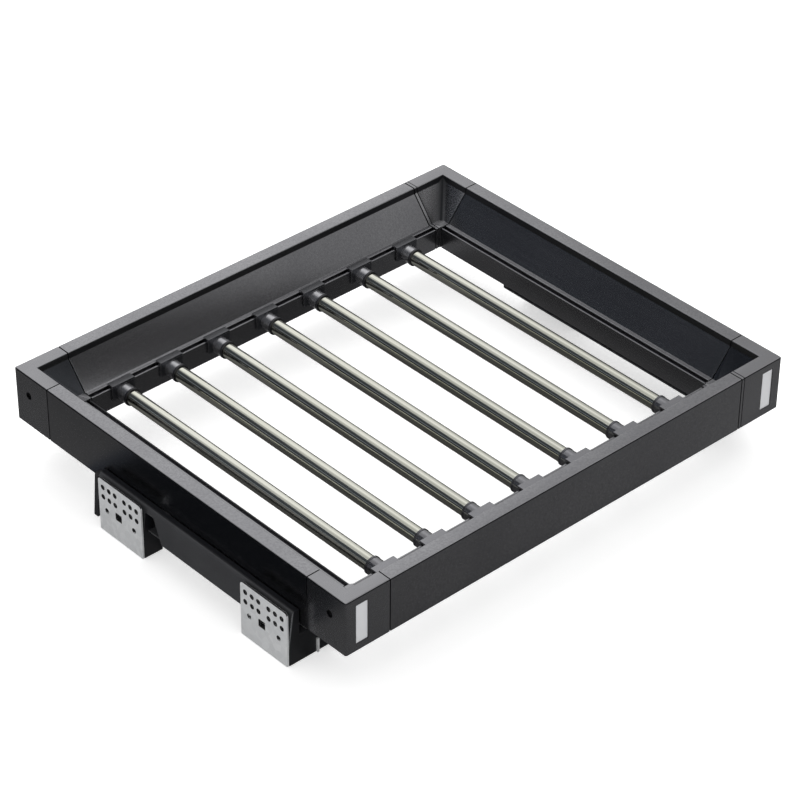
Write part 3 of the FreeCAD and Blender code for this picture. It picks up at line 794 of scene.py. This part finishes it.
# %% Housings with dark aprons and bare cut edges
wall_head = (-275.6 * MM, 56.5 * MM)
wall_foot = (-279.8 * MM, 27.4 * MM)
wall_sheet = 1.5 * MM
housing_round = 0.3 * MM
front_skin = 0.5 * MM
top_skin = 1.0 * MM
wall_line = Vector((wall_head[0] - wall_foot[0], 0, wall_head[1] - wall_foot[1])).normalized()
for side in sides:
    turn = -1 if side == "right" else 1
    node = side + "_housing"
    piece = softened(node, housing_round)
    fit(piece, black_steel, "black_steel", "cabinet_side", node)
    inward = Vector((turn * wall_line.z, 0, -wall_line.x))
    cut_place = Vector((turn * wall_head[0], 0, wall_head[1])) + inward * wall_sheet
    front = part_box(node)[0][1]

    def at_the_front(middle, normal):
        return normal.y < -facing and middle.y < front + front_skin

    select(piece, "FACE", at_the_front)
    bpy.ops.mesh.bisect(plane_co=cut_place, plane_no=inward)
    leave_edit()
    # Painted shade: the front faces and the top of the wall under the rail turn near-black.
    refinish(piece, apron_painted_shade, lambda middle, normal: normal.y < -facing
             or (normal.z > facing and abs(middle.z - wall_head[1]) < top_skin))
    refinish(piece, cut_edge_steel, lambda middle, normal: at_the_front(middle, normal)
             and (middle - cut_place).dot(inward) < 0)
    print(node, "faces:", len(piece.data.polygons))

# %% [markdown]
# ## Plates
# The plates that are screwed to the cabinet are bright zinc, and only their outer side is drawn as
# zinc. Their holes and window, the inner side and the shelf are in the shade of the housing and look
# nearly black, so all these faces get a near-black painted shade. The tab in the window catches the
# light and stays zinc.

# %% Plates
plate_sheet = 1.8 * MM
plate_skin = 0.05 * MM
plate_rim = 2.0 * MM
plate_round = 0.2 * MM
tab_height = 22.9 * MM
tab_skin = 0.1 * MM
for node in [f"{side}_{end}_bracket" for side in sides for end in ends]:
    piece = softened(node, plate_round)
    fit(piece, plate_zinc, "zinc_steel", "cabinet_side", node)
    low, high = (Vector(corner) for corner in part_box(node))
    outer = low.x if "left" in node else high.x

    def out_of_the_light(middle, normal):
        behind = abs(middle.x - outer) > plate_sheet - plate_skin
        on_top = normal.z > leaning and middle.z > high.z - plate_rim
        inside = (low.y + plate_rim < middle.y < high.y - plate_rim
                  and low.z + plate_rim < middle.z < high.z - plate_rim)
        on_tab = abs(middle.z - low.z - tab_height) < tab_skin
        return behind or on_top or (inside and abs(normal.x) < 0.7 and not on_tab)

    # Painted shade: these faces turn near-black.
    refinish(piece, painted_shade_steel, out_of_the_light)

# %% [markdown]
# ## Bars
# Each bar is a thin tube: a cylinder whose end faces are inset and joined by a bridge, which opens
# the bore, with both rims rounded over as a tube cutter leaves them. One tube is made, and the
# seven bars are copies of it at their own places.

# %% Turn the bars
bar_low, bar_high = (Vector(corner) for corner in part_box("bar_1"))
bar_radius = (bar_high.x - bar_low.x) / 2
bar_wall = 1.2 * MM
bar_round = 0.3 * MM
bar_sides = 96
middle_x = (bar_low.x + bar_high.x) / 2
middle_z = (bar_low.z + bar_high.z) / 2
first_bar = start_rod("bar_1_tube", (middle_x, bar_low.y, middle_z), (middle_x, bar_high.y, middle_z),
                      bar_radius, bar_sides)
select(first_bar, "FACE", lambda middle, normal: abs(normal.y) > facing)
bpy.ops.mesh.inset(thickness=bar_wall)
bpy.ops.mesh.bridge_edge_loops()
leave_edit()
round_edges(first_bar, bar_round, 3, 60.0)
for bar in bar_names:
    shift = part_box(bar)[0][0] - bar_low.x
    tube = copy_of(first_bar, bar + "_tube_finished", Matrix.Translation((shift, 0, 0)))
    fit(tube, bar_metal, "bar_metal", bar, bar)
bpy.data.objects.remove(first_bar, do_unlink=True)
print("bars:", len(bar_names), "of", round(2 * bar_radius / MM, 2), "mm")

# %% [markdown]
# ## End clips
# A clip is one moulding: a plate that lies over the slot, a hook that drops into it, a wall that
# closes the lip from the front, and a sleeve that takes the end of the bar. The sleeve starts as a
# cylinder: insets and extrudes open its mouth and bore, and a strip round the mouth is raised to a
# ring. The blocks are united into one skin before they are bevelled, so the radius runs round the
# whole piece as a mould's does.

# %% Plate, wall and hook
clip_low, clip_high = (Vector(corner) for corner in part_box("bar_1_front_clip"))
plate_thickness = 2.0 * MM
plate_run = 7.8 * MM
wall_thickness = 1.9 * MM
wall_drop = 14.05 * MM
wall_step = 0.3 * MM
hook_width = 22.5 * MM
hook_start, hook_end = 0.6 * MM, 3.1 * MM
hook_drop = 4.6 * MM
hook_root = 0.5 * MM
plate_top = clip_high.z
plate_under = plate_top - plate_thickness
wall_front = clip_low.y + plate_run
hook_inset = (clip_high.x - clip_low.x - hook_width) / 2
plate = start_box("clip", (clip_low.x, clip_low.y, plate_under), (clip_high.x, wall_front, plate_top))
wall = start_box("clip_wall", (clip_low.x, wall_front - wall_thickness, plate_under - wall_drop),
                 (clip_high.x, wall_front, plate_top - wall_step))
print("plate:", round(plate_run / MM, 1), "mm deep, hook:", round(hook_width / MM, 1), "mm wide")

# %% Sleeve
sleeve_radius = 8.6 * MM
mouth_gap = 0.25 * MM
mouth_depth = 1.2 * MM
bore_step = 0.2 * MM
bore_depth = 11.0 * MM
ring_run = 2.2 * MM
ring_height = 0.4 * MM
ring_start = clip_high.y - ring_run
sleeve = start_rod("clip_sleeve", (middle_x, wall_front - wall_thickness / 2, middle_z),
                   (middle_x, clip_high.y, middle_z), sleeve_radius)
select(sleeve, "FACE", lambda middle, normal: normal.y > facing)
for inset, depth in ((sleeve_radius - bar_radius - mouth_gap, mouth_depth), (bore_step, bore_depth)):
    bpy.ops.mesh.inset(thickness=inset)
    bpy.ops.mesh.extrude_region_move(TRANSFORM_OT_translate={"value": (0, -depth, 0)})
bpy.ops.mesh.select_all(action="SELECT")
bpy.ops.mesh.bisect(plane_co=(0, ring_start, 0), plane_no=(0, 1, 0))
leave_edit()
select(sleeve, "FACE", lambda middle, normal: middle.y > ring_start and abs(normal.y) < 0.5
       and (middle - Vector((middle_x, middle.y, middle_z))).dot(normal) > 0)
bpy.ops.mesh.extrude_region_shrink_fatten(TRANSFORM_OT_shrink_fatten={"value": ring_height})
leave_edit()
print("sleeve faces:", len(sleeve.data.polygons))

# %% One skin, and its mirrored twin for the rear
clip_round = 0.40 * MM
sleeve_round = 0.35 * MM
hook = start_box("clip_hook", (clip_low.x + hook_inset, clip_low.y + hook_start, plate_under - hook_drop),
                 (clip_high.x - hook_inset, clip_low.y + hook_end, plate_under + hook_root))
clip = unite(plate, [wall, hook])
round_edges(clip, clip_round, 3)
round_edges(sleeve, sleeve_round, 3)
unite(clip, [sleeve])
rear_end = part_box("bar_1_rear_clip")[1][1]
to_the_rear = Matrix.Translation((0, clip_low.y + rear_end, 0)) @ Matrix.Scale(-1, 4, (0, 1, 0))
moulds = {"front": clip, "rear": copy_of(clip, "rear_clip", to_the_rear)}
for mould in moulds.values():
    edit_all(mould)
    bpy.ops.mesh.remove_doubles(threshold=merge_distance)
    bpy.ops.mesh.normals_make_consistent(inside=False)
    leave_edit()
    calm_normals(mould)
print("clip faces:", len(clip.data.polygons))

# %% [markdown]
# ## Fourteen clips
# All clips are one moulding, but they hang in the frame where the light differs, so the light and
# shade are painted on: the ring at each mouth and the wall that looks back at the frame get painted
# shade, and at the rear the sleeves get a painted highlight and the plates under the rim painted
# shade. A copy goes to both ends of every bar, and its faces get these painted tones by how far
# they lie from the inner end.

# %% Copy the clip to both ends of every bar
ring_painted_shade = {
    "front": clip_moulded("front_ring_painted_shade", (0.110, 0.110, 0.118), (0.130, 0.130, 0.140), 0.24, 0.8),
    "rear": clip_moulded("rear_ring_painted_shade", (0.022, 0.022, 0.025), (0.030, 0.030, 0.034), 0.30, 0.3)}
wall_painted_shade = clip_moulded("clip_wall_painted_shade", (0.060, 0.062, 0.068), (0.072, 0.074, 0.082), 0.22, 0.8)
plate_painted_shade = clip_moulded("clip_plate_painted_shade", (0.125, 0.127, 0.135), (0.145, 0.147, 0.156), 0.20, 0.9)
sleeve_painted_highlight = clip_moulded("rear_sleeve_painted_highlight", (0.400, 0.400, 0.418), (0.440, 0.440, 0.458),
                              0.24, 0.9)
ring_skin = 0.1 * MM
wall_skin = 0.2 * MM
plate_top_skin = 0.4 * MM
for bar in bar_names:
    for end in ends:
        node = f"{bar}_{end}_clip"
        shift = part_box(node)[0][0] - clip_low.x
        piece = copy_of(moulds[end], node + "_moulded", Matrix.Translation((shift, 0, 0)))
        fit(piece, clip_plastic, "clip_plastic", bar, node)
        inner_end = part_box(node)[1][1] if end == "front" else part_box(node)[0][1]
        wall_face = inner_end + (wall_front - clip_high.y) * (1 if end == "front" else -1)
        # Painted shade on the ring and the wall, and at the rear painted shade on the plate and a painted
        # highlight on the sleeve.
        refinish(piece, ring_painted_shade[end], lambda middle, normal:
                 abs(middle.y - inner_end) < ring_run + ring_skin)
        refinish(piece, wall_painted_shade, lambda middle, normal: abs(normal.y) > facing
                 and abs(middle.y - wall_face) < wall_skin)
        if end == "rear":
            refinish(piece, plate_painted_shade, lambda middle, normal: normal.z > facing
                     and abs(middle.z - plate_top) < plate_top_skin)
            refinish(piece, sleeve_painted_highlight, lambda middle, normal:
                     inner_end + ring_run < middle.y < wall_face - wall_skin)
for mould in moulds.values():
    bpy.data.objects.remove(mould, do_unlink=True)
print("clips:", len(bar_names) * len(ends))

# %% [markdown]
# ## Floor
# The photograph is a cut-out on white. The floor is pale paper that keeps the rack's soft shadow,
# and the Light Path node adds a little glow where the camera sees it, so that it comes out white
# without more light on the object.

# %% Floor
bpy.ops.object.select_all(action="DESELECT")
floor_size = 30.0
floor_drop = -0.6 * MM
floor_glow = 0.55
bpy.ops.mesh.primitive_plane_add(size=floor_size, location=(0, 0, floor_drop))
floor = bpy.context.object
floor.name = "floor"
floor_paper, add, link, shader = start_material("floor_paper")
speckle = even_noise(add, link, 60.0, 3.0)
link(two_tone(add, link, speckle, (0.86, 0.86, 0.86), (0.88, 0.88, 0.88)), shader.inputs["Base Color"])
shader.inputs["Roughness"].default_value = 0.9
shader.inputs["Specular IOR Level"].default_value = 0.0
shader.inputs["Emission Color"].default_value = (1.0, 1.0, 1.0, 1.0)
seen = add("ShaderNodeLightPath")
lift = number_step(add, link, "MULTIPLY", seen.outputs["Is Camera Ray"])
lift.inputs[1].default_value = floor_glow
link(lift.outputs["Value"], shader.inputs["Emission Strength"])
floor.data.materials.append(floor_paper)
print("floor:", floor_size, "m wide")

# %% [markdown]
# ## World
# The sky is plain white where the camera, a mirror-like surface or glass sees it, and dimmer for
# the light that falls on the rack. Two MAXIMUM nodes join the three kinds of ray into one switch.

# %% World
sky_light = 0.75
world = bpy.data.worlds.new("studio")
bpy.context.scene.world = world
world.use_nodes = True
add, link = world.node_tree.nodes.new, world.node_tree.links.new
background = world.node_tree.nodes["Background"]
background.inputs["Color"].default_value = (1.0, 1.0, 1.0, 1.0)
seen = add("ShaderNodeLightPath")
shown = seen.outputs["Is Camera Ray"]
for ray in ("Is Glossy Ray", "Is Transmission Ray"):
    either = number_step(add, link, "MAXIMUM", shown)
    link(seen.outputs[ray], either.inputs[1])
    shown = either.outputs["Value"]
link(ramp(add, link, shown, 0.0, 1.0, sky_light, 1.0), background.inputs["Strength"])
print("sky light:", sky_light)

# %% [markdown]
# ## Lamp
# One large soft lamp stands behind the rack's right side. It lights the rims and the tops from
# above and leaves the faces that look at the camera darker. Reflections leave it out, because the
# cards below draw them.

# %% Soft lamp
lamp_place = (0.80, 0.90, 1.35)
lamp_data = bpy.data.lights.new("soft_lamp", "AREA")
lamp_data.shape = "SQUARE"
lamp_data.size = 1.6
lamp_data.energy = 16.0
lamp = bpy.data.objects.new("soft_lamp", lamp_data)
lamp.location = lamp_place
lamp.rotation_euler = (-lamp.location).to_track_quat("-Z", "Y").to_euler()
lamp.visible_glossy = False
lamp.visible_camera = False
bpy.context.scene.collection.objects.link(lamp)
print("lamp:", lamp_data.energy, "W,", lamp_data.size, "m wide")

# %% [markdown]
# ## Cards
# Polished metal shows what stands round it, so a studio puts cards there. These glow softly and
# only reflections see them. They draw the dark lines along the bars, and they keep the upright
# faces of the rails dark while the rims stay bright. Each card is a plane whose greys are set
# along its height or width, by the distance from its edge as a share of its length.

# %% Helpers for cards
def card_glow(name, axis, offset, stops, tint):
    """A glow whose greys run along an axis, from stops of (share, grey)."""
    material = bpy.data.materials.new(name)
    material.use_nodes = True
    material.node_tree.nodes.clear()
    add, link = material.node_tree.nodes.new, material.node_tree.links.new
    place = add("ShaderNodeTexCoord")
    reach = vector_step(add, link, "DOT_PRODUCT", place.outputs["Object"])
    reach.inputs[1].default_value = axis
    share = number_step(add, link, "SUBTRACT", reach.outputs["Value"])
    share.inputs[1].default_value = offset
    greys = add("ShaderNodeValToRGB")
    elements = greys.color_ramp.elements
    while len(elements) > 1:
        elements.remove(elements[-1])
    for index, (position, grey) in enumerate(stops):
        element = elements.new(position) if index else elements[0]
        element.position = position
        element.color = (*(grey * part for part in tint), 1.0)
    glow = add("ShaderNodeEmission")
    out = add("ShaderNodeOutputMaterial")
    link(share.outputs["Value"], greys.inputs["Fac"])
    link(greys.outputs["Color"], glow.inputs["Color"])
    link(glow.outputs["Emission"], out.inputs["Surface"])
    return material


def card(name, centre, across, up, width, height, stops, along="up", tint=(1.0, 1.0, 1.0)):
    """A card that only reflections see, with its greys along its height or its width."""
    bpy.ops.object.select_all(action="DESELECT")
    bpy.ops.mesh.primitive_plane_add(size=1.0, location=(0, 0, 0))
    piece = bpy.context.object
    piece.name = name
    first = Vector(across).normalized()
    second = Vector(up).normalized()
    turn = Matrix((first * width, second * height, first.cross(second))).transposed().to_4x4()
    piece.data.transform(Matrix.Translation(Vector(centre)) @ turn)
    axis, length = (second, height) if along == "up" else (first, width)
    offset = Vector(centre).dot(axis) / length - 0.5
    piece.data.materials.append(card_glow(name, axis / length, offset, stops, tint))
    piece.visible_camera = False
    piece.visible_diffuse = False
    piece.visible_shadow = False
    piece.visible_transmission = False
    print(name, width, "x", height, "m")


# %% Cards under the rack
to_x, to_y, to_z = (1, 0, 0), (0, 1, 0), (0, 0, 1)
card("table_card", (0.0, 0.0, -0.5 * MM), to_x, to_y, 2.4, 2.4,
     [(0.0, 0.02), (0.26, 0.03), (0.37, 0.13), (0.62, 0.21)], "across")
card("under_card", (0.0, 0.0, -0.4 * MM), to_x, to_y, 0.46, 0.42,
     [(0.0, 0.11), (1.0, 0.11)])
card("inner_card", (-0.05, -0.06, -0.3 * MM), to_x, to_y, 0.42, 0.40,
     [(0.0, 0.065), (0.97, 0.065), (1.0, 0.08)])
card("side_card", (-0.62, 0.015, -0.2 * MM), to_x, to_y, 0.68, 0.31,
     [(0.0, 0.03), (0.12, 0.012), (0.92, 0.012), (1.0, 0.08)], "up", (0.9, 1.0, 1.2))

# %% Cards round the rack
card("left_card", (-1.25, 1.00, 1.05), (0.625, 0.78, 0), to_z, 3.2, 2.10,
     [(0.0, 0.010), (0.26, 0.02), (0.31, 0.08), (0.36, 0.42), (0.40, 0.05), (0.48, 0.05), (1.0, 0.10)],
     "up", (0.86, 0.97, 1.14))
card("right_card", (0.95, -1.15, 1.20), (0.78, 0.625, 0), to_z, 2.6, 2.4,
     [(0.40, 0.10), (0.47, 0.15), (0.62, 0.46)], "across")
card("back_card", (1.00, 1.15, 1.05), (0.755, -0.656, 0), to_z, 2.4, 2.10,
     [(0.50, 1.15), (0.68, 0.62)], "across")
card("top_card", (0.40, 1.70, 2.20), to_x, to_y, 2.4, 2.0,
     [(0.25, 0.58), (0.70, 1.0)], "across")

# %% [markdown]
# ## Colour management
# The Standard view shows a colour about as it is written, while a filmic one would grey the white
# background and flatten the metal.

# %% Colour management
bpy.context.scene.view_settings.view_transform = "Standard"
print("view transform:", bpy.context.scene.view_settings.view_transform)
